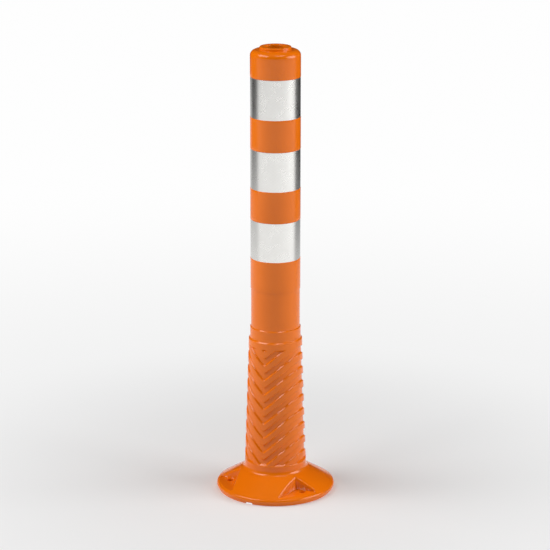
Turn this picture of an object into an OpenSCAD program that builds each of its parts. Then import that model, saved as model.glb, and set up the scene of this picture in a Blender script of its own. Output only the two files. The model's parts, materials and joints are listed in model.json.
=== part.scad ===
// Flexible delineator post: one hollow moulding with a round foot, a
// chevron-ribbed flexible neck, a plain tube with recesses for reflective
// bands, and a low collar round a socket at the top.
// The neck is cut into segments, so that it can bend at four hinges.
// +Z is up, the foot stands on Z = 0 and the post's front faces -Y.

/* [Post] */
// Height from the ground to the top of the collar
post_h = 750; // [650:1:1000]
// Radius of the plain tube
tube_r = 41; // [38:0.5:46]
// Wall of the plain tube
tube_wall = 4; // [3:0.5:6]

/* [Crown] */
// Radius of the rounded shoulder
shoulder_r = 9.5; // [6:0.5:12]
// Outer radius of the low collar
collar_r = 25.8; // [23:0.2:28]
// Height of the collar above the shoulder
collar_h = 5.2; // [2.5:0.1:7]
// Radius of the socket in the collar
socket_r = 17; // [10:0.5:19]
// Length of the socket, which is the thickness of the top
socket_len = 10; // [6:1:20]

/* [Reflective bands] */
// Height of one band recess
recess_h = 65.4; // [50:0.2:72]
// Distance from one recess to the next
recess_pitch = 117.5; // [100:0.1:125]
// From the top of the post to the first recess
recess_top = 48.6; // [30:0.1:60]
// Depth of a recess
recess_depth = 0.7; // [0.5:0.1:1.2]
// Thickness of the reflective film
film_t = 0.4; // [0.2:0.05:0.5]
// Gap above and below the film in its recess
film_gap = 0.2; // [0.1:0.05:0.5]

/* [Neck] */
// Height of the step where the neck's thicker wall begins
neck_top_z = 265; // [245:1:280]
// Radius of the neck at that step
neck_top_r = 44.1; // [43:0.1:50]
// Radius of the neck's rib tops at the ground's level
neck_foot_r = 52.9; // [50:0.1:56]
// Depth of the grooves between the chevron ribs
groove_depth = 2.4; // [1:0.1:3]
// Wall behind the grooves
neck_wall = 4.8; // [3:0.1:8]
// Distance from one chevron rib to the next
rib_pitch = 25; // [18:0.5:32]
// Height of one chevron rib
rib_h = 11; // [6:0.5:15]
// Rise of a rib for each millimetre to the side
rib_slope = 0.92; // [0.5:0.01:1.2]

/* [Foot] */
// Radius of the foot
foot_r = 98.6; // [92:0.1:105]
// Height at which the foot is widest, just under its rounded rim
rim_face_h = 7; // [4:0.1:9]
// How far the rim's face draws in from there to the ground
rim_tuck = 2.6; // [0:0.1:4]
// Height at which the fillet leaves the neck
fillet_z = 44; // [42:0.5:46]
// Radius of the fillet between neck and foot
fillet_r = 9.5; // [6:0.5:12]
// Radius of the rounded rim
rim_r = 5; // [3:0.5:7]
// Thickness of the foot's shell
foot_wall = 5.5; // [4:0.5:7]
// Thickness of the stiffening ribs under the foot
web_t = 3; // [2:0.5:5]

/* [Anchor holes] */
// Diameter of the circle of anchor holes
anchor_pcd = 152; // [148:1:156]
// Radius of an anchor hole
anchor_hole_r = 5.5; // [4:0.25:7]
// Height of the flat floor round an anchor hole
anchor_floor_z = 12.7; // [11:0.1:14]
// Width of a drain notch in the rim
notch_w = 13; // [8:0.5:16]
// Height of a drain notch
notch_h = 3; // [2:0.5:4]

/* [Hidden] */
$fn = 96;
eps = 0.01;
// Extra length of a cutter beyond the face that it cuts
over = 2;
arc_steps = 8;

// Chevron zone: from the plain band above the fillet to the plain band
// below the step
foot_band_h = 9;
step_band_h = 12;
chevron_z0 = fillet_z + foot_band_h;
chevron_z1 = neck_top_z - step_band_h;

// Cut planes of the neck, which are also the heights of the four hinges:
// the middle of each quarter of the chevron zone
seg_len = (chevron_z1 - chevron_z0) / 4;
seg_z = [for (i = [0:3]) chevron_z0 + (i + 0.5) * seg_len];
step_h = 2.1;
hem_r = tube_r + 0.8;
hem_h = 19;
collar_edge_r = 2.4;

recess_z1 = [for (i = [0:3]) post_h - recess_top - i * recess_pitch];
floor_r = tube_r - recess_depth;
film_h = recess_h - 2 * film_gap;

rib_drop = 3.5;
rib_count = ceil((chevron_z1 - chevron_z0) / rib_pitch + rib_slope * neck_foot_r / rib_pitch);

// The foot's slope is the line that touches both the fillet's circle, from
// below, and the rounded rim's circle, from above
neck_band_r = rib_r(chevron_z0);
fillet_c = [neck_band_r + fillet_r, fillet_z];
rim_c = [foot_r - rim_r, rim_face_h];
rim_to_fillet = fillet_c - rim_c;
foot_angle = atan2(rim_to_fillet[1], -rim_to_fillet[0]) - asin((fillet_r + rim_r) / norm(rim_to_fillet));
slope_n = [sin(foot_angle), cos(foot_angle)];
slope_top = fillet_c - fillet_r * slope_n;

// Anchor pockets: outlines in the pocket's own axes, x along the rim
// towards the front and y outwards, with the anchor hole on the y axis
anchor_r = anchor_pcd / 2;
pocket_wall = 5;
back_y = anchor_r - 12;
apex_y = anchor_r - 15;
tip_y = anchor_r + 0.5;
heel_y = anchor_r + 8.5;
side_pocket = [[49, tip_y], [2, apex_y], [-17, heel_y + 1.5], [-17, foot_r], [49, foot_r]];
rear_pocket = [[30, heel_y], [8, back_y], [-8, back_y], [-30, heel_y], [-30, foot_r], [30, foot_r]];
web_angles = [12, 86, 103, 137, 152];
notch_angles = [-3, 117, 237];

function rib_r(z) = neck_foot_r + (neck_top_r - neck_foot_r) * z / neck_top_z;
function groove_r(z) = rib_r(z) - groove_depth;
function inner_r(z) = groove_r(z) - neck_wall;
function spoke(r, a) = r * [cos(a), sin(a)];
function arc(c, r, a0, a1) = [for (i = [0:arc_steps]) c + spoke(r, a0 + (a1 - a0) * i / arc_steps)];

module orange() {
    color([0.93, 0.42, 0.06]) children();
}

module silver() {
    color([0.86, 0.86, 0.84]) children();
}

// A cone-shaped disc between two heights whose radius follows the neck
module neck_cone(z0, z1, r0, r1) {
    translate([0, 0, z0])
        cylinder(h = z1 - z0, r1 = r0, r2 = r1);
}

// One chevron rib: a V that points down, the same at the front and the back
module chevron(z_top) {
    reach = neck_foot_r + over;
    rise = rib_slope * reach;
    translate([0, reach, z_top])
        rotate([90, 0, 0])
            linear_extrude(2 * reach)
                polygon([
                    [0, 0], [reach, rise], [reach, rise - rib_h],
                    [0, -rib_h], [-reach, rise - rib_h], [-reach, rise]]);
}

// Outside of the neck between two heights, with its ribs
module neck_outside(z0, z1) {
    lo = max(z0, chevron_z0);
    hi = min(z1, chevron_z1);
    neck_cone(lo, hi, groove_r(lo), groove_r(hi));
    intersection() {
        neck_cone(lo, hi, rib_r(lo), rib_r(hi));
        for (i = [0:rib_count]) {
            z_top = chevron_z1 - rib_drop - i * rib_pitch;
            if (z_top + rib_slope * neck_foot_r > lo && z_top - rib_h < hi)
                chevron(z_top);
        }
    }
}

module neck_hollow(z0, z1) {
    neck_cone(z0 - eps, z1 + eps, inner_r(z0), inner_r(z1));
}

module neck_segment(z0, z1) {
    difference() {
        neck_outside(z0, z1);
        neck_hollow(z0, z1);
    }
}

// Full body of the foot, from the ground up to the start of the ribs
module foot_outside() {
    rotate_extrude()
        polygon(concat(
            [[0, 0], [foot_r - rim_tuck, 0]],
            arc(rim_c, rim_r, 0, 90 - foot_angle),
            arc(fillet_c, fillet_r, 270 - foot_angle, 180),
            [[neck_band_r, chevron_z0], [0, chevron_z0]]));
}

// Hollow under the foot, which runs on up into the neck
module foot_hollow() {
    in_r = foot_r - rim_tuck - foot_wall;
    in_line = slope_top - foot_wall * slope_n;
    rise = tan(foot_angle);
    bore_r = inner_r(fillet_z);
    rotate_extrude()
        polygon([
            [0, -over], [in_r, -over], [in_r, in_line[1] - rise * (in_r - in_line[0])],
            [bore_r, in_line[1] - rise * (bore_r - in_line[0])], [bore_r, fillet_z],
            [inner_r(seg_z[0]), seg_z[0] + eps], [0, seg_z[0] + eps]]);
}

module at_pocket(angle) {
    rotate(angle + 180)
        children();
}

// Each anchor pocket: two at the sides of the front and one at the rear
module each_pocket() {
    at_pocket(60)
        children(0);
    mirror([1, 0, 0])
        at_pocket(60)
            children(0);
    at_pocket(180)
        children(1);
}

// The pocket's walls and floor under the foot, as one block
module pocket_block(outline) {
    linear_extrude(chevron_z0)
        intersection() {
            offset(delta = pocket_wall)
                polygon(outline);
            circle(r = foot_r - over);
        }
}

module pocket_cut(outline) {
    translate([0, 0, anchor_floor_z])
        linear_extrude(chevron_z0)
            polygon(outline);
}

module webs() {
    in_r = inner_r(fillet_z) + 1;
    for (side = [0, 1], a = web_angles)
        mirror([side, 0, 0])
            rotate(a - 90)
                translate([in_r, -web_t / 2, 0])
                    cube([foot_r - over - in_r, web_t, fillet_z]);
}

module drain_notches() {
    for (a = notch_angles)
        rotate(a - 90)
            translate([foot_r - rim_tuck - foot_wall - over, -notch_w / 2, -over])
                cube([rim_tuck + foot_wall + 2 * over, notch_w, notch_h + over]);
}

module anchor_holes() {
    for (a = [60, 180, 300])
        rotate(a - 90)
            translate([anchor_r, 0, -over])
                cylinder(h = anchor_floor_z + 2 * over, r = anchor_hole_r);
}

module base_flange() {
    orange()
        difference() {
            union() {
                difference() {
                    union() {
                        foot_outside();
                        neck_outside(chevron_z0, seg_z[0]);
                    }
                    foot_hollow();
                }
                intersection() {
                    foot_outside();
                    union() {
                        webs();
                        each_pocket() {
                            pocket_block(side_pocket);
                            pocket_block(rear_pocket);
                        }
                    }
                }
            }
            each_pocket() {
                pocket_cut(side_pocket);
                pocket_cut(rear_pocket);
            }
            anchor_holes();
            drain_notches();
        }
}

module neck_segment_1() {
    orange()
        neck_segment(seg_z[0], seg_z[1]);
}

module neck_segment_2() {
    orange()
        neck_segment(seg_z[1], seg_z[2]);
}

module neck_segment_3() {
    orange()
        neck_segment(seg_z[2], seg_z[3]);
}

// Tube outline above the chevrons: step, hem, plain wall, shoulder, collar
module tube_outside() {
    shoulder_z = post_h - collar_h;
    rotate_extrude()
        polygon(concat(
            [[0, chevron_z1], [rib_r(chevron_z1), chevron_z1], [neck_top_r, neck_top_z - step_h],
             [hem_r + 0.2, neck_top_z], [hem_r, neck_top_z + hem_h], [tube_r, neck_top_z + hem_h]],
            arc([tube_r - shoulder_r, shoulder_z - shoulder_r], shoulder_r, 0, 90),
            [[collar_r, shoulder_z]],
            arc([collar_r - collar_edge_r, post_h - collar_edge_r], collar_edge_r, 0, 90),
            [[0, post_h]]));
}

module tube_hollow() {
    in_r = tube_r - tube_wall;
    top_z = post_h - socket_len;
    rotate_extrude()
        polygon([
            [0, seg_z[3] - eps], [inner_r(seg_z[3]), seg_z[3] - eps], [in_r, neck_top_z],
            [in_r, top_z - 4], [in_r - 4, top_z], [0, top_z]]);
}

module recess(z1) {
    translate([0, 0, z1 - recess_h])
        difference() {
            cylinder(h = recess_h, r = tube_r + over);
            translate([0, 0, -eps])
                cylinder(h = recess_h + 2 * eps, r = floor_r);
        }
}

module post_tube() {
    orange()
        difference() {
            union() {
                neck_outside(seg_z[3], chevron_z1);
                tube_outside();
            }
            tube_hollow();
            for (z1 = recess_z1)
                recess(z1);
            translate([0, 0, post_h - socket_len - over])
                cylinder(h = socket_len + 2 * over, r = socket_r);
        }
}

// A film band, as tall as its recess less the gaps, lying on the floor
module film(z1) {
    translate([0, 0, z1 - film_gap - film_h])
        difference() {
            cylinder(h = film_h, r = floor_r + film_t);
            translate([0, 0, -over])
                cylinder(h = film_h + 2 * over, r = floor_r);
        }
}

module reflective_band_top() {
    silver()
        film(recess_z1[0]);
}

module reflective_band_middle() {
    silver()
        film(recess_z1[1]);
}

module reflective_band_bottom() {
    silver()
        film(recess_z1[2]);
}

base_flange();
neck_segment_1();
neck_segment_2();
neck_segment_3();
post_tube();
reflective_band_top();
reflective_band_middle();
reflective_band_bottom();
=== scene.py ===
# A flexible delineator post: foot, chevron-ribbed bending neck, plain tube
# with band recesses, reflective films and a low collar round a top socket.
# Shapes are worked out in millimetres round the post's axis. An angle is
# measured from the front, which is -Y, towards +X.

import json

import bpy
import numpy as np
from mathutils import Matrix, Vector

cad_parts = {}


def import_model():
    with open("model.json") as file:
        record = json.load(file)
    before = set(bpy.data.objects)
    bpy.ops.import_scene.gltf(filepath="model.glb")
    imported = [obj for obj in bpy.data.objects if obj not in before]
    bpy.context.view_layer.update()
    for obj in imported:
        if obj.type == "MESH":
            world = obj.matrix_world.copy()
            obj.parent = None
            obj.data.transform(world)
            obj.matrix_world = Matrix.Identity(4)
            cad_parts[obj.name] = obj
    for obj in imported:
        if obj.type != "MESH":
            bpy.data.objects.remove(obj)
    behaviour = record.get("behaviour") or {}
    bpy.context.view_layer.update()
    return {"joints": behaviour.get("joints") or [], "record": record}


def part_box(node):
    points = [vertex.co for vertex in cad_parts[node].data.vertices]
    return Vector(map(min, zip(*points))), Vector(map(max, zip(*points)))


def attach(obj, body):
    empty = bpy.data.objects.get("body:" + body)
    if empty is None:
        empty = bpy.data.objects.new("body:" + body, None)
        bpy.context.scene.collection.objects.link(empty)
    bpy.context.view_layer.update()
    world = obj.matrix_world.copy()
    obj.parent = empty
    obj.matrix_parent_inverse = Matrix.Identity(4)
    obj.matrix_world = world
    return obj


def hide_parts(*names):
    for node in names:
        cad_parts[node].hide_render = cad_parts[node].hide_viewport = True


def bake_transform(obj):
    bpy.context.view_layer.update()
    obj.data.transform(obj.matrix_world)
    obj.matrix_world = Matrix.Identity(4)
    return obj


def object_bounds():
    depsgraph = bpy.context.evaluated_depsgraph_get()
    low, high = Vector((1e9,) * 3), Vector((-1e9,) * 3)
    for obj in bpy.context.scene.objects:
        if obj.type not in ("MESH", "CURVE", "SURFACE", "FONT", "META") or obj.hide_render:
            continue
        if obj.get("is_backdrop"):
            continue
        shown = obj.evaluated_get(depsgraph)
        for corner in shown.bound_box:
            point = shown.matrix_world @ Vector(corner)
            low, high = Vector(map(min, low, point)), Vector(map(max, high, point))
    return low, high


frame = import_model()

MM = 0.001


def node_box(node):
    """Lowest and highest corner of a CAD node, in millimetres."""
    low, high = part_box(node)
    return np.array(low) / MM, np.array(high) / MM


def mount(name):
    """The record's mount of that name."""
    return next(m for m in frame["record"]["mounts"] if m["name"] == name)


# ---- sizes taken from the frame ----

HINGE_Z = sorted(j["pos_m"][2] / MM for j in frame["joints"])
HALF_SPAN = (HINGE_Z[1] - HINGE_Z[0]) / 2
RIBS_LOW = HINGE_Z[0] - HALF_SPAN
RIBS_HIGH = HINGE_Z[-1] + HALF_SPAN
FOOT_R = node_box("base_flange")[1][0]
POST_H = node_box("post_tube")[1][2]
FILMS = ["reflective_band_top", "reflective_band_middle", "reflective_band_bottom"]
FILM_SPANS = [(node_box(n)[0][2], node_box(n)[1][2]) for n in FILMS]
FILM_R = node_box(FILMS[0])[1][0]
ANCHOR_R = mount("anchor_holes")["dims"]["pcd_mm"] / 2
ANCHOR_HOLE_R = mount("anchor_holes")["dims"]["hole_r_mm"]
SOCKET_R = mount("top_socket")["dims"]["r_mm"]
SOCKET_LEN = mount("top_socket")["dims"]["length_mm"]

# ---- sizes of the moulding ----

FILM_T = 0.4
FILM_GAP = 0.2
FILM_LAP = 5.0
RECESS_DEPTH = 0.7
FLOOR_R = FILM_R - FILM_T
TUBE_R = FLOOR_R + RECESS_DEPTH
TUBE_WALL = 4.0
SHOULDER_R = 9.5
COLLAR_R = 25.8
COLLAR_H = 5.2
COLLAR_EDGE = 1.6

STEP_Z = RIBS_HIGH + 12.0
RIB_R_STEP = 44.1
RIB_R_GROUND = 52.9
GROOVE_DEPTH = 2.4
NECK_WALL = 4.8
RIB_PITCH = 25.0
RIB_H = 11.0
RIB_DROP = 3.5
RIB_SLOPE = 0.92
VEE_ROUND = 2.0

FILLET_R = 9.5
FILLET_Z = RIBS_LOW - 9.0
RIM_R = 5.0
RIM_FACE_H = 7.0
RIM_TUCK = 2.6
FOOT_WALL = 5.5
POCKET_FLOOR_Z = 12.7
POCKET_EDGE = 3.0
POCKET_TOE = 0.8
POCKET_WALL = 5.0
POCKET_ANGLES = [60.0, 180.0, 300.0]
WEB_ANGLES = [12.0, 86.0, 103.0, 137.0, 152.0]
WEB_T = 3.0
NOTCH_ANGLES = [-3.0, 117.0, 237.0]
NOTCH_W = 13.0
NOTCH_H = 3.0

TUBE_COLUMNS = 240
NECK_COLUMNS = 450
NECK_ROW = 0.5


# ---- mesh helpers ----

def around(angle, r, z):
    """Points at that angle in radians, radius and height, as one array."""
    angle, r, z = np.broadcast_arrays(angle, r, z)
    return np.stack([r * np.sin(angle), -r * np.cos(angle), z], axis=-1)


def loop_quads(rows, columns, close_rows):
    """Quads of a grid whose columns close into a ring, and whose rows do too
    if asked."""
    count = rows if close_rows else rows - 1
    i, j = np.meshgrid(np.arange(count), np.arange(columns), indexing="ij")
    i2, j2 = (i + 1) % rows, (j + 1) % columns
    corners = [i * columns + j, i * columns + j2, i2 * columns + j2, i2 * columns + j]
    return np.stack(corners, axis=-1).reshape(-1, 4)


def outward(points, quads):
    """The same quads, turned round if their signed volume is negative."""
    a, b, c, d = (points[quads[:, k]] for k in range(4))
    volume = np.einsum("ij,ij->", a, np.cross(b, c)) + np.einsum("ij,ij->", a, np.cross(c, d))
    return quads if volume > 0 else quads[:, ::-1]


def solid(name, grid, crease=32.0):
    """A closed, smooth-shaded mesh from a grid of points in millimetres that
    closes both ways. Edges sharper than the crease angle stay hard."""
    rows, columns = grid.shape[:2]
    points = grid.reshape(-1, 3)
    quads = outward(points, loop_quads(rows, columns, True))
    mesh = bpy.data.meshes.new(name)
    mesh.vertices.add(len(points))
    mesh.vertices.foreach_set("co", (points * MM).astype(np.float32).ravel())
    mesh.loops.add(quads.size)
    mesh.loops.foreach_set("vertex_index", quads.astype(np.int32).ravel())
    mesh.polygons.add(len(quads))
    mesh.polygons.foreach_set("loop_start", np.arange(0, quads.size, 4, dtype=np.int32))
    mesh.polygons.foreach_set("use_smooth", np.ones(len(quads), dtype=bool))
    mesh.update(calc_edges=True)
    mesh.validate()
    mesh.set_sharp_from_angle(angle=np.radians(crease))
    piece = bpy.data.objects.new(name, mesh)
    bpy.context.scene.collection.objects.link(piece)
    return piece


def rounded_path(corners, step=0.35):
    """The closed outline through corners (r, z, radius), in order, where each
    corner with a radius is an arc that touches both of its sides."""
    points = []
    count = len(corners)
    for k, (r, z, radius) in enumerate(corners):
        here = np.array([r, z], float)
        if radius <= 0:
            points.append(here[None])
            continue
        back = np.array(corners[k - 1][:2], float) - here
        ahead = np.array(corners[(k + 1) % count][:2], float) - here
        back, ahead = back / np.linalg.norm(back), ahead / np.linalg.norm(ahead)
        half = np.arccos(np.clip(back @ ahead, -1, 1)) / 2
        middle = (back + ahead) / np.linalg.norm(back + ahead)
        centre = here + middle * radius / np.sin(half)
        sweep = np.pi - 2 * half
        start = here + back * radius / np.tan(half) - centre
        turn = np.sign(back[1] * ahead[0] - back[0] * ahead[1])
        t = np.linspace(0, turn * sweep, max(4, int(radius * sweep / step)))[:, None]
        side = np.array([-start[1], start[0]])
        points.append(centre + np.cos(t) * start + np.sin(t) * side)
    return np.concatenate(points)


def fill_rows(path, gap):
    """The same closed path with extra points, so that none lie further apart
    than the gap."""
    after = np.roll(path, -1, axis=0)
    pieces = []
    for a, b in zip(path, after):
        n = max(1, int(np.ceil(np.linalg.norm(b - a) / gap)))
        pieces.append(a + (b - a) * (np.arange(n) / n)[:, None])
    return np.concatenate(pieces)


def lathe(path, columns):
    """Grid of a closed (r, z) path turned once round the axis."""
    angle = np.linspace(0, 2 * np.pi, columns, endpoint=False)
    return around(angle[None, :], path[:, 0, None], path[:, 1, None])


# ---- neck ----

def rib_r(z):
    """Radius of the rib tops: a cone from the ground to the step."""
    return RIB_R_GROUND + (RIB_R_STEP - RIB_R_GROUND) * z / STEP_Z


def bore_r(z):
    """Radius of the hollow: the grooves' cone less the wall."""
    return rib_r(z) - GROOVE_DEPTH - NECK_WALL


def ramp(x, start, end):
    """0 before start, 1 after end, and a straight line between."""
    return np.clip((x - start) / (end - start), 0, 1)


def soft(x):
    """Smooth step from 0 to 1."""
    return x * x * (3 - 2 * x)


def groove(angle, z):
    """Depth of the chevron relief. The ribs are Vs that hang down at the front
    and back, drawn in the plane that faces the front: a rib's top edge is at a
    height that rises with the distance from the middle. Each rib has a
    chamfered top edge, a softer lower edge, and the grooves run out in
    chamfers at both ends of the zone."""
    aside = rib_r(z) * np.sin(angle)
    rise = RIB_SLOPE * (np.hypot(aside, VEE_ROUND) - VEE_ROUND)
    below = np.mod(RIBS_HIGH - RIB_DROP + rise - z, RIB_PITCH)
    lower_edge = soft(ramp(below, RIB_H - 0.6, RIB_H + 2.4))
    top_edge = ramp(below, RIB_PITCH, RIB_PITCH - GROOVE_DEPTH)
    high_end = ramp(z, RIBS_HIGH, RIBS_HIGH - GROOVE_DEPTH)
    low_end = ramp(z, RIBS_LOW, RIBS_LOW + GROOVE_DEPTH)
    ends = np.minimum(high_end, low_end)
    return GROOVE_DEPTH * np.minimum(np.minimum(lower_edge, top_edge), ends)


def neck_span(number, low, high):
    """One bending length of the neck: the ribbed outside on a fine grid, the
    plain hollow inside, and flat rings where it meets its neighbours."""
    angle = np.linspace(0, 2 * np.pi, NECK_COLUMNS, endpoint=False)[None, :]
    out_z = np.linspace(low, high, int((high - low) / NECK_ROW) + 1)[:, None]
    outside = around(angle, rib_r(out_z) - groove(angle, out_z), out_z)
    in_z = np.linspace(high, low, 21)[:, None]
    inside = around(angle, bore_r(in_z), in_z)
    return solid("neck_bend_%d" % number, np.concatenate([outside, inside]), crease=50.0)


# ---- foot ----

def slope():
    """The foot's slope touches the fillet's circle from below and the rim's
    circle from above. Returns both centres and the slope's angle."""
    fillet = np.array([rib_r(RIBS_LOW) + FILLET_R, FILLET_Z])
    rim = np.array([FOOT_R - RIM_R, RIM_FACE_H])
    across = fillet - rim
    angle = np.arctan2(across[1], -across[0]) - np.arcsin((FILLET_R + RIM_R) / np.linalg.norm(across))
    return fillet, rim, angle


def arc(centre, radius, start, end, count):
    t = np.linspace(start, end, count)
    return centre + radius * np.stack([np.cos(t), np.sin(t)], axis=1)


def line(a, b, count, ends=True):
    t = np.linspace(0, 1, count)[:, None]
    points = np.array(a) * (1 - t) + np.array(b) * t
    return points if ends else points[1:-1]


def foot_path():
    """The foot's closed (r, z) section: neck band, fillet, slope, rounded rim,
    a face that draws in to the ground, the flat ring that it stands on, the
    hollow underside and the bore. Returns it with the part that each point
    belongs to: 1 for the slope, 2 for the roof of the hollow."""
    fillet, rim, angle = slope()
    normal = np.array([np.sin(angle), np.cos(angle)])
    top, end = fillet - FILLET_R * normal, rim + RIM_R * normal
    in_line = top - FOOT_WALL * normal
    ground_r = FOOT_R - RIM_TUCK
    in_r = ground_r - FOOT_WALL
    bore = bore_r(FILLET_Z)

    def roof(r):
        return [r, in_line[1] - np.tan(angle) * (r - in_line[0])]

    parts = [
        (0, line([rib_r(RIBS_LOW), RIBS_LOW], [fillet[0] - FILLET_R, FILLET_Z], 5)[:-1]),
        (0, arc(fillet, FILLET_R, np.pi, 1.5 * np.pi - angle, 16)),
        (1, line(top, end, 84, ends=False)),
        (0, arc(rim, RIM_R, np.pi / 2 - angle, 0, 11)),
        (0, line([FOOT_R, RIM_FACE_H], [ground_r + 0.3, 0.8], 3, ends=False)),
        (0, arc(np.array([ground_r - 0.8, 0.8]), 0.8, 0.36, -np.pi / 2, 5)),
        (0, line([ground_r - 0.8, 0], [in_r, 0], 3)[1:]),
        (2, line([in_r, 0], roof(in_r - 1.2), 4)[1:]),
        (2, line(roof(in_r - 1.2), roof(bore + 1.0), 25)[1:]),
        (0, line([bore, roof(bore)[1] + 1.2], [bore_r(RIBS_LOW), RIBS_LOW], 3)),
    ]
    path = np.concatenate([p for _, p in parts])
    part = np.concatenate([np.full(len(p), k) for k, p in parts])
    return path, part


def foot_angles():
    """Angles of the foot's columns, closer together where a pocket or a web
    is: the running sum of a density, cut into equal shares."""
    fine = np.arange(0, 360, 0.05)

    def near(centre, half):
        return np.abs((fine - centre + 180) % 360 - 180) < half

    density = np.full(fine.shape, 0.8)
    for side in (1, -1):
        density[near(side * 50, 27)] = 2.4
        for web in WEB_ANGLES:
            density[near(side * web, 3.2)] = 2.2
    density[near(180, 24)] = 2.4
    share = np.concatenate([[0], np.cumsum(density)])
    count = int(share[-1] * 0.05)
    return np.radians(np.interp(np.arange(count) * share[-1] / count, share, np.append(fine, 360)))


def pocket_outline(angle):
    """Corners of an anchor pocket in its own axes: x along the rim towards the
    front, y outwards, with the anchor hole on y."""
    back, apex, tip = ANCHOR_R - 12, ANCHOR_R - 15, ANCHOR_R + 0.5
    heel, out = ANCHOR_R + 8.5, FOOT_R + 20
    if angle == 180.0:
        return [(30, heel), (8, back), (-8, back), (-30, heel), (-30, out), (30, out)]
    return [(49, tip), (2, apex), (-17, heel + 1.5), (-17, out), (49, out)]


def distance(x, y, corners):
    """Signed distance to a polygon, negative inside: the nearest edge's
    distance, with the sign of the crossings of a ray."""
    nearest = np.full(x.shape, np.inf)
    inside = np.zeros(x.shape, bool)
    for (ax, ay), (bx, by) in zip(corners, corners[1:] + corners[:1]):
        ex, ey = bx - ax, by - ay
        t = np.clip(((x - ax) * ex + (y - ay) * ey) / (ex * ex + ey * ey), 0, 1)
        nearest = np.minimum(nearest, np.hypot(x - ax - t * ex, y - ay - t * ey))
        crosses = (ay > y) != (by > y)
        inside ^= crosses & (x < ax + (y - ay) * ex / (ey if ey else 1.0))
    return np.where(inside, -nearest, nearest)


def pocket_distance(x, y):
    """Signed distance to the nearest of the three pocket outlines."""
    nearest = np.full(x.shape, np.inf)
    for angle in POCKET_ANGLES:
        mirrored = -x if angle > 180 else x
        a = np.radians(360 - angle if angle > 180 else angle)
        along = -np.cos(a) * mirrored - np.sin(a) * y
        out = np.sin(a) * mirrored - np.cos(a) * y
        nearest = np.minimum(nearest, distance(along, out, pocket_outline(angle)))
    return nearest


def web_distance(x, y):
    """Signed distance to the nearest of the upright webs under the foot."""
    nearest = np.full(x.shape, np.inf)
    for web in WEB_ANGLES:
        for a in (np.radians(web), -np.radians(web)):
            across = np.abs(np.cos(a) * x + np.sin(a) * y) - WEB_T / 2
            ahead = np.sin(a) * x - np.cos(a) * y
            nearest = np.minimum(nearest, np.where(ahead > 0, across, np.inf))
    return nearest


def snap(x, y, field, level, reach=0.3):
    """The same points, with those nearest to a level line of the field moved
    onto it along the field's gradient, and the next ones part of the way."""
    e = 0.05
    off = field(x, y) - level
    slope_x = (field(x + e, y) - field(x - e, y)) / (2 * e)
    slope_y = (field(x, y + e) - field(x, y - e)) / (2 * e)
    pull = off * soft(ramp(np.abs(off), 2.2 * reach, reach)) / np.maximum(slope_x**2 + slope_y**2, 0.5)
    return x - slope_x * pull, y - slope_y * pull


def top_height(x, y):
    """Height of the foot's slope with its pockets sunk to their floor. A
    pocket's wall rises steeply from its toe and turns over into the slope:
    its share of the full height is a quarter of a squared-off ellipse."""
    _, rim, angle = slope()
    radius = np.hypot(x, y)
    z = rim[1] + RIM_R * np.cos(angle) + (rim[0] + RIM_R * np.sin(angle) - radius) * np.tan(angle)
    t = ramp(pocket_distance(x, y), -POCKET_TOE, POCKET_EDGE)
    share = (1 - (1 - t) ** 3) ** (1 / 3)
    return np.where(z > POCKET_FLOOR_Z, POCKET_FLOOR_Z + (z - POCKET_FLOOR_Z) * share, z)


def under_block(x, y):
    """Signed distance to what stands under the roof: webs and pocket walls."""
    return np.minimum(pocket_distance(x, y) - POCKET_WALL, web_distance(x, y))


def foot_mesh():
    """The foot: its section turned round the axis, with the slope following
    its height function, and the hollow's roof brought down to the ground at
    the webs and the pockets."""
    path, part = foot_path()
    angle = foot_angles()
    grid = around(angle[None, :], path[:, 0, None], path[:, 1, None])
    x, y, z = grid[..., 0], grid[..., 1], grid[..., 2]
    top = part == 1
    held = z[top] < POCKET_FLOOR_Z - 0.5
    tx, ty = x[top], y[top]
    for level in (-POCKET_TOE, 0.1 * POCKET_EDGE):
        sx, sy = snap(tx, ty, pocket_distance, level)
        tx, ty = np.where(held, tx, sx), np.where(held, ty, sy)
    x[top], y[top], z[top] = tx, ty, top_height(tx, ty)
    under = part == 2
    room = ramp(np.hypot(x[under], y[under]), bore_r(FILLET_Z) + 1.5, bore_r(FILLET_Z) + 3.5)
    ux, uy = snap(x[under], y[under], under_block, 0.0)
    edge = z[under] < 1
    ux, uy = np.where(edge, x[under], ux), np.where(edge, y[under], uy)
    x[under], y[under] = ux, uy
    z[under] = z[under] * (1 - soft(ramp(under_block(ux, uy), 0.8, 0.0)) * room)
    return solid("foot", grid, crease=40.0)


def smooth_slope(mesh):
    """Gives the slope and the pockets the normals of their height function."""
    count = len(mesh.vertices)
    co = np.empty(count * 3, dtype=np.float32)
    mesh.vertices.foreach_get("co", co)
    x, y, z = co.reshape(-1, 3).T.astype(float) / MM
    e = 0.12
    normal = np.stack([
        top_height(x - e, y) - top_height(x + e, y),
        top_height(x, y - e) - top_height(x, y + e),
        np.full(count, 2 * e)], axis=1)
    normal /= np.linalg.norm(normal, axis=1)[:, None]
    fillet, rim, angle = slope()
    radius = np.hypot(x, y)
    inner_r = fillet[0] - FILLET_R * np.sin(angle) + 0.2
    outer_r = rim[0] + RIM_R * np.sin(angle) - 0.2
    on_slope = (radius > inner_r) & (radius < outer_r)
    on_slope &= np.abs(z - top_height(x, y)) < 0.02
    for a in np.radians(POCKET_ANGLES):
        hole = around(a, ANCHOR_R, 0.0)
        on_slope &= np.hypot(x - hole[0], y - hole[1]) > ANCHOR_HOLE_R + 1.0
    normal[~on_slope] = 0
    mesh.normals_split_custom_set_from_vertices(normal.tolist())


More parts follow.
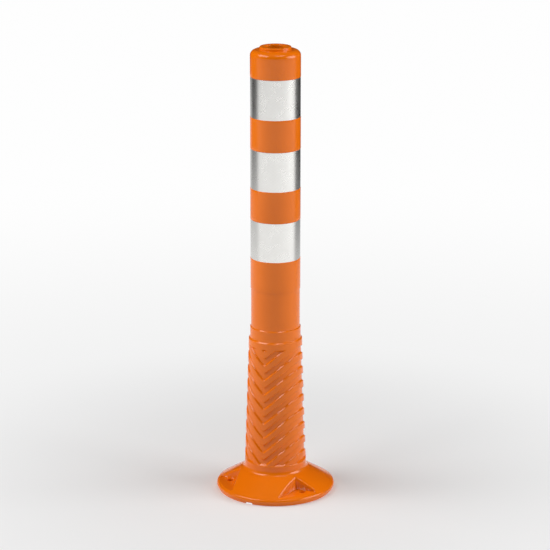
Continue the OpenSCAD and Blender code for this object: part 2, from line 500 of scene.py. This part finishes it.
def plug(name, rings):
    """A closed plug from a list of rings of points, flat at both ends."""
    columns = len(rings[0])
    points = np.concatenate(rings)
    quads = loop_quads(len(rings), columns, False)
    ends = [list(range(columns))[::-1], list(range(len(points) - columns, len(points)))]
    mesh = bpy.data.meshes.new(name)
    mesh.from_pydata((points * MM).tolist(), [], quads.tolist() + ends)
    piece = bpy.data.objects.new(name, mesh)
    bpy.context.scene.collection.objects.link(piece)
    return piece


def hole_plug(name, angle):
    """A round plug for an anchor hole, which widens a little at the floor."""
    turn = np.linspace(0, 2 * np.pi, 65)[:-1]
    levels = [
        (-3, ANCHOR_HOLE_R), (POCKET_FLOOR_Z - 0.5, ANCHOR_HOLE_R),
        (POCKET_FLOOR_Z + 0.2, ANCHOR_HOLE_R + 0.7), (POCKET_FLOOR_Z + 1.2, ANCHOR_HOLE_R + 0.7)]
    return plug(name, [around(turn, r, z) + around(angle, ANCHOR_R, 0.0) for z, r in levels])


def notch_block(name, angle):
    """A block for a drain notch, through the rim's foot."""
    out, aside = around(angle, 1.0, 0.0), around(angle + np.pi / 2, 1.0, 0.0)
    near, far, half = FOOT_R - RIM_TUCK - FOOT_WALL - 2, FOOT_R + 3, NOTCH_W / 2
    corners = [
        near * out - half * aside, far * out - half * aside,
        far * out + half * aside, near * out + half * aside]
    up = np.array([0, 0, 1.0])
    return plug(name, [np.array(corners) + level * up for level in (-3.0, NOTCH_H)])


def cut(piece, cutters):
    """Takes the cutters out of the piece and deletes them."""
    for c in cutters:
        m = piece.modifiers.new("cut", "BOOLEAN")
        m.operation, m.solver, m.object = "DIFFERENCE", "EXACT", c
    bpy.context.view_layer.update()
    shape = bpy.data.meshes.new_from_object(piece.evaluated_get(bpy.context.evaluated_depsgraph_get()))
    piece.modifiers.clear()
    piece.data = shape
    for c in cutters:
        bpy.data.objects.remove(c)


def foot():
    """The foot with its anchor holes and drain notches cut out, and with the
    normals of its slope set."""
    piece = foot_mesh()
    cutters = [hole_plug("hole_%d" % k, a) for k, a in enumerate(np.radians(POCKET_ANGLES))]
    cutters += [notch_block("notch_%d" % k, a) for k, a in enumerate(np.radians(NOTCH_ANGLES))]
    cut(piece, cutters)
    piece.data.polygons.foreach_set("use_smooth", np.ones(len(piece.data.polygons), dtype=bool))
    piece.data.set_sharp_from_angle(angle=np.radians(40.0))
    smooth_slope(piece.data)
    return piece


# ---- tube ----

def recess_spans():
    """Heights of the recesses: one round each film, and one that stays empty,
    a pitch below the last."""
    spans = [(low - FILM_GAP, high + FILM_GAP) for low, high in FILM_SPANS]
    pitch = spans[0][1] - spans[1][1]
    low, high = spans[-1]
    return spans + [(low - pitch, high - pitch)]


def tube_path():
    """The tube's closed (r, z) section, from the ribs up: plain band, step,
    hem, recesses, shoulder, collar, socket and hollow."""
    hem_r = TUBE_R + 0.8
    in_r = TUBE_R - TUBE_WALL
    shoulder_z = POST_H - COLLAR_H
    lip_z = POST_H - SOCKET_LEN
    spans = recess_spans()[::-1]
    corners = [
        (rib_r(RIBS_HIGH), RIBS_HIGH, 0),
        (RIB_R_STEP + 0.05, STEP_Z - 2.1, 0.7),
        (hem_r + 0.3, STEP_Z, 1.0),
        (hem_r, STEP_Z + 5, 4.0),
        (hem_r, spans[0][0] - 0.6, 0.3),
    ]
    for k, (low, high) in enumerate(spans):
        if k:
            corners.append((TUBE_R, low, 0.25))
        corners.append((FLOOR_R, low + 0.7, 0.2))
        corners.append((FLOOR_R, high, 0.1))
        corners.append((TUBE_R, high + 0.05, 0.25))
    corners += [
        (TUBE_R, shoulder_z, SHOULDER_R),
        (COLLAR_R, shoulder_z, 0.8),
        (COLLAR_R, POST_H, COLLAR_EDGE),
        (SOCKET_R, POST_H, 1.2),
        (SOCKET_R, lip_z, 1.0),
        (in_r - 4, lip_z, 2.0),
        (in_r, lip_z - 4, 2.0),
        (in_r, STEP_Z, 0),
        (bore_r(RIBS_HIGH), RIBS_HIGH, 0),
    ]
    return rounded_path(corners)


def tube():
    """The tube: its section turned round the axis."""
    return solid("tube_shell", lathe(fill_rows(tube_path(), 6.0), TUBE_COLUMNS), crease=35.0)


def film(name, low, high):
    """One reflective film: a strip wrapped round the recess from its seam at
    the back, whose last 5 mm lie on its first. The strip's inner radius climbs
    by its own thickness just before the overlap."""
    lap = FILM_LAP / FILM_R
    main = np.linspace(0, 2 * np.pi - 0.06, 236)
    seam = np.linspace(2 * np.pi - 0.055, 2 * np.pi + lap, 40)
    turn = np.concatenate([main, seam])
    lift = (FILM_T + 0.03) * soft(ramp(turn, 2 * np.pi - 0.05, 2 * np.pi - 0.004))
    inner = FLOOR_R + 0.02 + lift
    outer = inner + FILM_T - 0.04
    edge = 0.12
    section = [
        (inner, low), (outer - edge, low), (outer, low + edge),
        (outer, high - edge), (outer - edge, high), (inner, high)]
    rings = np.stack([around(turn + np.pi, r, z) for r, z in section], axis=0)
    rows, columns = rings.shape[:2]
    points = rings.reshape(-1, 3)
    i, j = np.meshgrid(np.arange(rows), np.arange(columns - 1), indexing="ij")
    i2 = (i + 1) % rows
    here, beyond = i * columns + j, i2 * columns + j
    quads = np.stack([here, here + 1, beyond + 1, beyond], axis=-1).reshape(-1, 4)
    quads = outward(points, quads)
    ends = [[k * columns for k in range(rows)], [k * columns + columns - 1 for k in reversed(range(rows))]]
    mesh = bpy.data.meshes.new(name)
    mesh.from_pydata((points * MM).tolist(), [], quads.tolist() + ends)
    mesh.validate()
    mesh.polygons.foreach_set("use_smooth", np.ones(len(mesh.polygons), dtype=bool))
    mesh.set_sharp_from_angle(angle=np.radians(30.0))
    u = np.tile(turn * FILM_R * MM, rows)
    v = points[:, 2] * MM
    uv = mesh.uv_layers.new(name="film_uv")
    vertex = np.empty(len(mesh.loops), dtype=np.int32)
    mesh.loops.foreach_get("vertex_index", vertex)
    uv.data.foreach_set("uv", np.stack([u[vertex], v[vertex]], axis=1).astype(np.float32).ravel())
    piece = bpy.data.objects.new(name, mesh)
    bpy.context.scene.collection.objects.link(piece)
    return piece


# ---- materials ----

def new_material(name):
    material = bpy.data.materials.new(name)
    material.use_nodes = True
    nodes, links = material.node_tree.nodes, material.node_tree.links
    return material, nodes, links, nodes["Principled BSDF"]


def noise(nodes, links, vector, scale, detail, rough=0.5):
    n = nodes.new("ShaderNodeTexNoise")
    n.inputs["Scale"].default_value = scale
    n.inputs["Detail"].default_value = detail
    n.inputs["Roughness"].default_value = rough
    links.new(vector, n.inputs["Vector"])
    return n.outputs["Fac"]


def spread(nodes, links, value, low, high):
    m = nodes.new("ShaderNodeMapRange")
    m.inputs["From Min"].default_value, m.inputs["From Max"].default_value = 0.3, 0.7
    m.inputs["To Min"].default_value, m.inputs["To Max"].default_value = low, high
    links.new(value, m.inputs["Value"])
    return m.outputs["Result"]


def elastomer():
    """Orange moulded elastomer: even colour with a faint cloudiness, a satin
    gloss that varies a little, and the fine grain of the mould."""
    material, nodes, links, shader = new_material("orange_elastomer")
    place = nodes.new("ShaderNodeTexCoord").outputs["Object"]
    cloud = noise(nodes, links, place, 9.0, 3.0)
    mix = nodes.new("ShaderNodeMix")
    mix.data_type = "RGBA"
    links.new(spread(nodes, links, cloud, 0.0, 1.0), mix.inputs["Factor"])
    mix.inputs["A"].default_value = (0.83, 0.168, 0.0012, 1)
    mix.inputs["B"].default_value = (0.88, 0.186, 0.0018, 1)
    links.new(mix.outputs["Result"], shader.inputs["Base Color"])
    gloss = noise(nodes, links, place, 45.0, 4.0, 0.6)
    links.new(spread(nodes, links, gloss, 0.15, 0.20), shader.inputs["Roughness"])
    shader.inputs["IOR"].default_value = 1.46
    grain = noise(nodes, links, place, 900.0, 2.0)
    waves = noise(nodes, links, place, 60.0, 2.0)
    fine = nodes.new("ShaderNodeBump")
    fine.inputs["Strength"].default_value = 0.05
    fine.inputs["Distance"].default_value = 0.0002
    links.new(grain, fine.inputs["Height"])
    wavy = nodes.new("ShaderNodeBump")
    wavy.inputs["Strength"].default_value = 0.04
    wavy.inputs["Distance"].default_value = 0.001
    links.new(waves, wavy.inputs["Height"])
    links.new(fine.outputs["Normal"], wavy.inputs["Normal"])
    links.new(wavy.outputs["Normal"], shader.inputs["Normal"])
    return material


def reflective_film():
    """Silver-white reflective sheeting: a metallised film with a faint lattice
    of sealed cells, seen in its gloss and in a slight relief."""
    material, nodes, links, shader = new_material("silver_film")
    place = nodes.new("ShaderNodeUVMap")
    place.uv_map = "film_uv"
    lines = []
    for turn in (0.9, -0.9):
        m = nodes.new("ShaderNodeMapping")
        m.inputs["Rotation"].default_value = (0, 0, turn)
        links.new(place.outputs["UV"], m.inputs["Vector"])
        w = nodes.new("ShaderNodeTexWave")
        w.inputs["Scale"].default_value = 75.0
        links.new(m.outputs["Vector"], w.inputs["Vector"])
        narrow = nodes.new("ShaderNodeMapRange")
        narrow.inputs["From Min"].default_value, narrow.inputs["From Max"].default_value = 0.9, 1.0
        links.new(w.outputs["Fac"], narrow.inputs["Value"])
        lines.append(narrow.outputs["Result"])
    cells = nodes.new("ShaderNodeMath")
    cells.operation = "MAXIMUM"
    links.new(lines[0], cells.inputs[0])
    links.new(lines[1], cells.inputs[1])
    mix = nodes.new("ShaderNodeMix")
    mix.data_type = "RGBA"
    links.new(cells.outputs[0], mix.inputs["Factor"])
    mix.inputs["A"].default_value = (0.94, 0.93, 0.90, 1)
    mix.inputs["B"].default_value = (0.915, 0.905, 0.875, 1)
    links.new(mix.outputs["Result"], shader.inputs["Base Color"])
    shader.inputs["Metallic"].default_value = 1.0
    sheen = noise(nodes, links, place.outputs["UV"], 60.0, 3.0)
    links.new(spread(nodes, links, sheen, 0.26, 0.30), shader.inputs["Roughness"])
    bump = nodes.new("ShaderNodeBump")
    bump.inputs["Strength"].default_value = 0.03
    bump.inputs["Distance"].default_value = 0.0002
    links.new(cells.outputs[0], bump.inputs["Height"])
    links.new(bump.outputs["Normal"], shader.inputs["Normal"])
    return material


# ---- the post ----

ORANGE = elastomer()
SILVER = reflective_film()


def dress(piece, material):
    """Gives the piece its material."""
    piece.data.materials.clear()
    piece.data.materials.append(material)
    return piece


foot_piece = dress(foot(), ORANGE)
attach(foot_piece, "foot")
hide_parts("base_flange")

for k, hinge_z in enumerate(HINGE_Z):
    low, high = hinge_z - HALF_SPAN, hinge_z + HALF_SPAN
    span = dress(neck_span(k + 1, low, high), ORANGE)
    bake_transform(span)
    if k < 3:
        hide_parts("neck_segment_%d" % (k + 1))

tube_piece = dress(tube(), ORANGE)
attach(tube_piece, "tube")
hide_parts("post_tube")

for node, (low, high) in zip(FILMS, FILM_SPANS):
    wrap = dress(film(node.replace("reflective_band", "film"), low, high), SILVER)
    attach(wrap, "tube")
    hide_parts(node)


# ---- studio ----

CAMERA_TURN = 24.4
CAMERA_OUT = 3.5656
CAMERA_UP = 1.3922
CAMERA_TILT = 16.004
LENS = 147.65


def seen(turn, out, up):
    """A point at that many degrees to the right of the camera's side of the
    post, that far from the axis and that high, in metres."""
    a = np.radians(CAMERA_TURN + turn)
    return Vector((out * np.sin(a), -out * np.cos(a), up))


def aim(thing, target):
    thing.rotation_euler = (target - thing.location).to_track_quat("-Z", "Y").to_euler()


def camera():
    data = bpy.data.cameras.new("camera")
    data.lens, data.sensor_width = LENS, 36.0
    data.shift_x = -0.0008
    thing = bpy.data.objects.new("camera", data)
    thing.location = seen(0, CAMERA_OUT, CAMERA_UP)
    aim(thing, Vector((0, 0, CAMERA_UP - CAMERA_OUT * np.tan(np.radians(CAMERA_TILT)))))
    bpy.context.scene.collection.objects.link(thing)
    bpy.context.scene.camera = thing


def softbox(name, turn, out, up, width, height, radiance, glossy=True):
    """A rectangular light of even radiance that faces the post."""
    data = bpy.data.lights.new(name, "AREA")
    data.shape, data.size, data.size_y = "RECTANGLE", width, height
    data.energy = radiance * np.pi * width * height
    thing = bpy.data.objects.new(name, data)
    thing.location = seen(turn, out, up)
    aim(thing, Vector((0, 0, min(up, 0.4))))
    thing.visible_camera = False
    thing.visible_glossy = glossy
    bpy.context.scene.collection.objects.link(thing)


def world():
    """White behind the floor for the camera, and a dark room for all else."""
    w = bpy.data.worlds.new("studio")
    w.use_nodes = True
    nodes, links = w.node_tree.nodes, w.node_tree.links
    nodes.clear()
    room, white = nodes.new("ShaderNodeBackground"), nodes.new("ShaderNodeBackground")
    room.inputs["Color"].default_value = (0.015, 0.015, 0.015, 1)
    white.inputs["Color"].default_value = (0.99, 0.99, 0.99, 1)
    mix, out = nodes.new("ShaderNodeMixShader"), nodes.new("ShaderNodeOutputWorld")
    links.new(nodes.new("ShaderNodeLightPath").outputs["Is Camera Ray"], mix.inputs["Fac"])
    links.new(room.outputs[0], mix.inputs[1])
    links.new(white.outputs[0], mix.inputs[2])
    links.new(mix.outputs[0], out.inputs["Surface"])
    bpy.context.scene.world = w


# Radiance of the far floor round the post as gloss sees it, by degrees to the
# right of the camera's side: bright in front, dark at both sides and behind on
# the right. The floor's other light is even.
FLOOR_RING = [
    (-180, 0.6), (-142, 0.6), (-128, 0.01), (-98, 0.01),
    (-80, 1.0), (92, 1.0), (108, 0.01), (180, 0.01)]
DIFFUSE_GLOW = 0.76
# Middle of the bright near floor, in axes turned with the camera, in metres
NEAR_MIDDLE = (-0.35, 0, 0)
# Where the floor glows under the rim: it comes up over the first pair of
# distances from the axis and goes down over the second, in metres
UNDER_RIM = [(0.083, 0.085), (0.0955, 0.0965)]


def maths(nodes, links, operation, a, b):
    m = nodes.new("ShaderNodeMath")
    m.operation = operation
    for k, value in enumerate((a, b)):
        if isinstance(value, (int, float)):
            m.inputs[k].default_value = value
        else:
            links.new(value, m.inputs[k])
    return m.outputs[0]


def fade(nodes, links, value, start, end, low=0.0, high=1.0):
    """A smooth change from low at start to high at end."""
    m = nodes.new("ShaderNodeMapRange")
    m.interpolation_type = "SMOOTHSTEP"
    m.inputs["From Min"].default_value, m.inputs["From Max"].default_value = start, end
    m.inputs["To Min"].default_value, m.inputs["To Max"].default_value = low, high
    links.new(value, m.inputs["Value"])
    return m.outputs["Result"]


def floor_glow(nodes, links, place):
    """Radiance of the floor as gloss sees it: the larger of the near glow,
    which fades with the distance from its middle, and the ring's value for
    that direction, which rises a little with the same distance."""
    turned = nodes.new("ShaderNodeMapping")
    turned.inputs["Rotation"].default_value = (0, 0, -np.radians(CAMERA_TURN))
    links.new(place, turned.inputs["Vector"])
    apart = nodes.new("ShaderNodeSeparateXYZ")
    links.new(turned.outputs["Vector"], apart.inputs["Vector"])
    away = maths(nodes, links, "MULTIPLY", apart.outputs["Y"], -1.0)
    turn = maths(nodes, links, "ARCTAN2", apart.outputs["X"], away)
    share = maths(nodes, links, "MULTIPLY_ADD", turn, 1 / (2 * np.pi))
    share.node.inputs[2].default_value = 0.5
    ring = nodes.new("ShaderNodeValToRGB")
    stops = ring.color_ramp.elements
    while len(stops) < len(FLOOR_RING):
        stops.new(0.5)
    for stop, (degrees, power) in zip(stops, FLOOR_RING):
        stop.position = degrees / 360 + 0.5
        stop.color = (power, power, power, 1)
    links.new(share, ring.inputs["Fac"])
    shifted = nodes.new("ShaderNodeVectorMath")
    shifted.operation = "DISTANCE"
    shifted.inputs[1].default_value = NEAR_MIDDLE
    links.new(turned.outputs["Vector"], shifted.inputs[0])
    near = fade(nodes, links, shifted.outputs["Value"], 1.1, 2.7, 0.81, 0.0)
    far = fade(nodes, links, shifted.outputs["Value"], 1.2, 4.0, 0.9, 1.2)
    lit = maths(nodes, links, "MULTIPLY", ring.outputs["Color"], far)
    return maths(nodes, links, "MAXIMUM", lit, near)


def floor():
    """A pale round floor, centred a little before the post. Close to the post
    it takes the light, and further out it glows. A narrow ring of it, hidden
    under the rim, glows too, so that the drain notches look open. Gloss sees
    the ring's glow, and other light gets an even one."""
    radius, centre = 4.5, seen(0, 1.0, 0)
    turn = np.linspace(0, 2 * np.pi, 129)[:-1]
    points = [(centre.x + radius * np.sin(a), centre.y - radius * np.cos(a), 0) for a in turn]
    mesh = bpy.data.meshes.new("floor")
    mesh.from_pydata(points, [], [list(range(128))])
    thing = bpy.data.objects.new("floor", mesh)
    bpy.context.scene.collection.objects.link(thing)
    material, nodes, links, shader = new_material("floor")
    nodes.remove(shader)
    place = nodes.new("ShaderNodeTexCoord").outputs["Object"]
    length = nodes.new("ShaderNodeVectorMath")
    length.operation = "LENGTH"
    links.new(place, length.inputs[0])
    power = nodes.new("ShaderNodeMix")
    rays = nodes.new("ShaderNodeLightPath")
    lighting = nodes.new("ShaderNodeMix")
    links.new(rays.outputs["Is Glossy Ray"], lighting.inputs["Factor"])
    lighting.inputs["A"].default_value = DIFFUSE_GLOW
    links.new(floor_glow(nodes, links, place), lighting.inputs["B"])
    links.new(rays.outputs["Is Camera Ray"], power.inputs["Factor"])
    links.new(lighting.outputs["Result"], power.inputs["A"])
    links.new(fade(nodes, links, length.outputs["Value"], 0.1, 2.2, 0.86, 0.99), power.inputs["B"])
    glow, matt = nodes.new("ShaderNodeEmission"), nodes.new("ShaderNodeBsdfDiffuse")
    links.new(power.outputs["Result"], glow.inputs["Strength"])
    matt.inputs["Color"].default_value = (0.82, 0.82, 0.82, 1)
    mix = nodes.new("ShaderNodeMixShader")
    (in_start, in_end), (out_start, out_end) = UNDER_RIM
    inner = fade(nodes, links, length.outputs["Value"], in_start, in_end)
    outer = fade(nodes, links, length.outputs["Value"], out_start, out_end, 1.0, 0.0)
    under_rim = maths(nodes, links, "MULTIPLY", inner, outer)
    open_floor = fade(nodes, links, length.outputs["Value"], 0.15, 0.8)
    links.new(maths(nodes, links, "MAXIMUM", under_rim, open_floor), mix.inputs["Fac"])
    links.new(matt.outputs[0], mix.inputs[1])
    links.new(glow.outputs[0], mix.inputs[2])
    links.new(mix.outputs[0], nodes["Material Output"].inputs["Surface"])
    mesh.materials.append(material)
    thing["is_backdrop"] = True


camera()
world()
floor()
# Each softbox: degrees to the right of the camera's side, distance out, height
# of its middle, width and height in metres, and radiance. The two fills and
# the top box light the post without showing in its gloss.
softbox("left_box", -70, 2.0, 2.6, 2.2, 1.0, 6.0)
softbox("right_high_box", 32, 0.96, 2.40, 1.2, 0.4, 5.0)
softbox("right_tall_box", 79, 2.1, 1.3, 1.6, 1.3, 4.8)
softbox("left_fill", -95, 2.2, 0.9, 1.6, 1.6, 3.2, glossy=False)
softbox("right_fill", 105, 2.2, 0.9, 1.4, 1.6, 1.1, glossy=False)
softbox("top_box", 0, 0.01, 2.6, 2.0, 2.0, 0.75, glossy=False)
bpy.context.scene.view_settings.view_transform = "Standard"

low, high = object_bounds()
